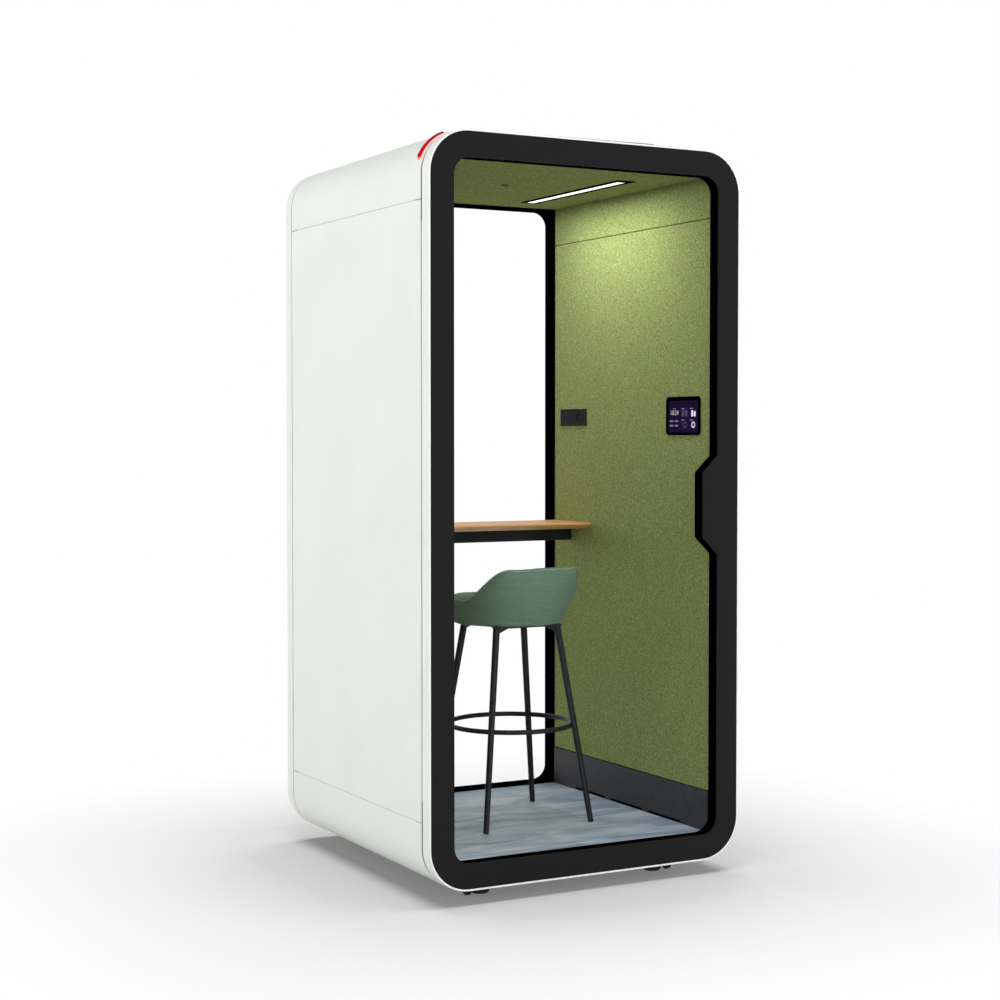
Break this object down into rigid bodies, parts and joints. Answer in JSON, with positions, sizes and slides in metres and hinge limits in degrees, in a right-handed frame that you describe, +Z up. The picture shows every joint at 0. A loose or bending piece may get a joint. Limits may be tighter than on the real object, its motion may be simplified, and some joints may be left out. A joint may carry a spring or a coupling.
{
  "type": "acoustic office pod",
  "caption": "Free-standing one-person acoustic booth with a full-height hinged glass door, glazed rear wall, felt lining, standing desk, touch display and bar stool.",
  "frame": {"origin": "on the floor, under the middle of the shell", "axes": "+Z up, the door looks along -Y, +X is the wall with the display"},
  "size_m": [1.1, 1.096, 2.317],
  "materials": {
    "white_panel": "satin powder coat",
    "white_rim": "satin powder coat",
    "dark_border": "fine-textured dark grey powder coat",
    "black_frame": "black lacquer on a wood-composite section",
    "black_steel": "matt black powder coat",
    "glass": "clear, laminated",
    "rubber": "matt",
    "steel": "zinc plated",
    "green_felt": "needled felt",
    "fibre_core": "fibre board",
    "grey_plastic": "matt, fine texture",
    "black_plastic": "matt",
    "plywood": "raw",
    "grey_vinyl": "streaked, satin",
    "opal": "opal diffuser",
    "red_lens": "glowing red lens",
    "oak": "clear lacquer",
    "screen": "gloss",
    "sage_fabric": "woven upholstery"
  },
  "bodies": {
    "pod": {"lower_corner_left": "white_panel", "lower_corner_right": "white_panel", "upper_corner_left": "white_panel", "upper_corner_right": "white_panel", "side_panel_left": "white_panel", "side_panel_right": "white_panel", "roof_panel": "white_panel", "rear_rim": "white_rim", "rear_frame": "black_frame", "front_portal": "black_frame", "rear_portal": "black_frame", "base_pan": "black_steel", "desk_beam": "black_steel", "rear_glass": "glass", "rear_gasket": "rubber", "roof_cover": "steel", "body_hinge_leaf": "steel", "hinge_pin": "steel", "strike_plate": "steel", "chassis_rail_front": "steel", "chassis_rail_rear": "steel", "wall_felt_left": "green_felt", "wall_felt_right": "green_felt", "upper_felt_left": "green_felt", "upper_felt_right": "green_felt", "ceiling_felt": "green_felt", "insulation_left": "fibre_core", "insulation_right": "fibre_core", "skirting_left": "grey_plastic", "skirting_right": "grey_plastic", "power_module": "grey_plastic", "light_housing": "black_plastic", "occupancy_sensor": "black_plastic", "fan_shroud": "black_plastic", "cable_gland": "black_plastic", "display_housing": "black_plastic", "floor_deck": "plywood", "floor_covering": "grey_vinyl", "light_diffuser": "opal", "status_light": "red_lens", "desk_top": "oak", "display_screen": "screen"},
    "door": {"door_rim": "white_rim", "door_border": "dark_border", "door_frame": "black_frame", "door_glass": "glass", "door_seal": "rubber", "door_hinge_leaf": "steel", "door_magnet": "steel"},
    "fan": {"fan_rotor": "black_plastic"},
    "stool": {"stool_frame": "black_steel"},
    "seat": {"stool_seat": "sage_fabric"},
    "levelling_foot_front_left": {"levelling_foot_front_left": "rubber"},
    "castor_wheel_front_left": {"castor_wheel_front_left": "rubber"},
    "levelling_foot_front_right": {"levelling_foot_front_right": "rubber"},
    "castor_wheel_front_right": {"castor_wheel_front_right": "rubber"},
    "levelling_foot_rear_left": {"levelling_foot_rear_left": "rubber"},
    "castor_wheel_rear_left": {"castor_wheel_rear_left": "rubber"},
    "levelling_foot_rear_right": {"levelling_foot_rear_right": "rubber"},
    "castor_wheel_rear_right": {"castor_wheel_rear_right": "rubber"}
  },
  "joints": [
    {"name": "door_hinge", "type": "hinge", "parent": "pod", "child": "door", "pos_m": [-0.547, -0.4975, 1.1655], "axis": [0, 0, -1], "range_deg": [0, 105]},
    {"name": "fan_spin", "type": "hinge", "parent": "pod", "child": "fan", "pos_m": [-0.15, 0, 2.265], "axis": [0, 0, 1], "continuous": true},
    {"name": "stool_slide", "type": "slide", "parent": "pod", "child": "stool", "axis": [0, 1, 0], "range_m": [-0.12, 0.12]},
    {"name": "seat_swivel", "type": "hinge", "parent": "stool", "child": "seat", "pos_m": [0.033, 0.023, 0.771], "axis": [0, 0, 1], "continuous": true},
    {"name": "levelling_foot_front_left_screw", "type": "slide", "parent": "pod", "child": "levelling_foot_front_left", "axis": [0, 0, 1], "range_m": [-0.001, 0.012]},
    {"name": "castor_wheel_front_left_axle", "type": "hinge", "parent": "pod", "child": "castor_wheel_front_left", "pos_m": [-0.361, -0.421, 0.019], "axis": [1, 0, 0], "continuous": true},
    {"name": "levelling_foot_front_right_screw", "type": "slide", "parent": "pod", "child": "levelling_foot_front_right", "axis": [0, 0, 1], "range_m": [-0.001, 0.012]},
    {"name": "castor_wheel_front_right_axle", "type": "hinge", "parent": "pod", "child": "castor_wheel_front_right", "pos_m": [0.361, -0.421, 0.019], "axis": [1, 0, 0], "continuous": true},
    {"name": "levelling_foot_rear_left_screw", "type": "slide", "parent": "pod", "child": "levelling_foot_rear_left", "axis": [0, 0, 1], "range_m": [-0.001, 0.012]},
    {"name": "castor_wheel_rear_left_axle", "type": "hinge", "parent": "pod", "child": "castor_wheel_rear_left", "pos_m": [-0.361, 0.421, 0.019], "axis": [1, 0, 0], "continuous": true},
    {"name": "levelling_foot_rear_right_screw", "type": "slide", "parent": "pod", "child": "levelling_foot_rear_right", "axis": [0, 0, 1], "range_m": [-0.001, 0.012]},
    {"name": "castor_wheel_rear_right_axle", "type": "hinge", "parent": "pod", "child": "castor_wheel_rear_right", "pos_m": [0.361, 0.421, 0.019], "axis": [1, 0, 0], "continuous": true}
  ]
}
